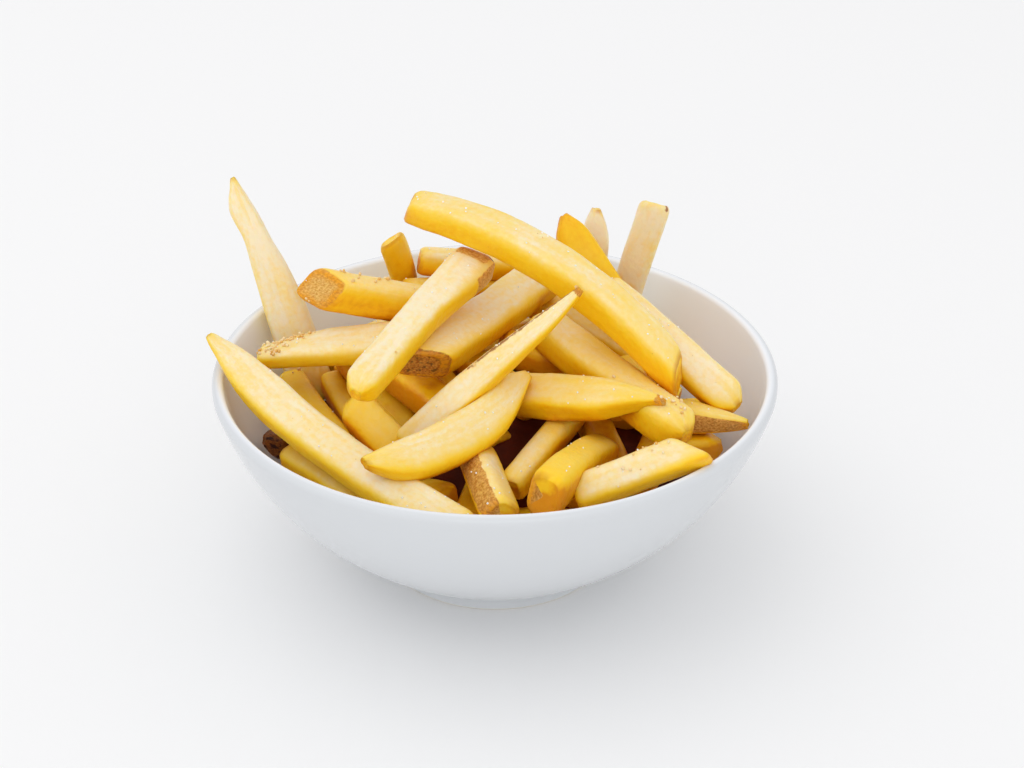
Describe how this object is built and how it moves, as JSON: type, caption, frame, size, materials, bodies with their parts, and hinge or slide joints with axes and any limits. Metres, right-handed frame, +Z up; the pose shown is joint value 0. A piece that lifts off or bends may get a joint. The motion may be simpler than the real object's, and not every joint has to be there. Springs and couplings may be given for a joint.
{
  "type": "french fries portion in a bowl",
  "caption": "Small round white glazed ceramic bowl on a low foot ring, heaped with thick-cut fried potato sticks that lie criss-cross and stand above the rim.",
  "frame": {"origin": "on the table, under the middle of the bowl's foot", "axes": "+Z up along the bowl's axis, -Y towards the side from which the portion is seen, +X to its right"},
  "size_m": [0.1519, 0.15, 0.0964],
  "materials": {
    "glaze": "smooth white gloss glaze",
    "fried_potato": "fried potato: pale dry faces, yellow to orange sides, brown edges and skin, with a slight oily sheen"
  },
  "bodies": {
    "root": {"bowl": "glaze", "fries": "fried_potato"}
  },
  "joints": []
}
